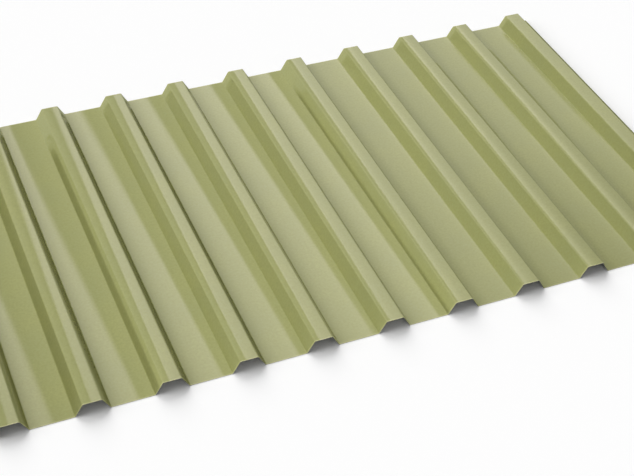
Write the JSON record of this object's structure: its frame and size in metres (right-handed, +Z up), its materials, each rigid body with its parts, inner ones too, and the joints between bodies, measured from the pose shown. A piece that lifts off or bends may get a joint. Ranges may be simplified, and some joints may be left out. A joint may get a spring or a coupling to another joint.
{
  "type": "corrugated metal sheet",
  "caption": "Flat-lying trapezoidal corrugated sheet of thin colour-coated steel, with narrow ribs between wide flat valleys, for roofs, walls and fences.",
  "frame": {"origin": "middle of the sheet in plan, on the plane of the valleys' undersides that it lies on", "axes": "+X across the ribs, +Y along the ribs, +Z up, the way the ribs stand"},
  "size_m": [1.06, 0.6, 0.018],
  "materials": {
    "coated_steel": "satin"
  },
  "bodies": {
    "root": {"sheet": "coated_steel"}
  },
  "joints": []
}
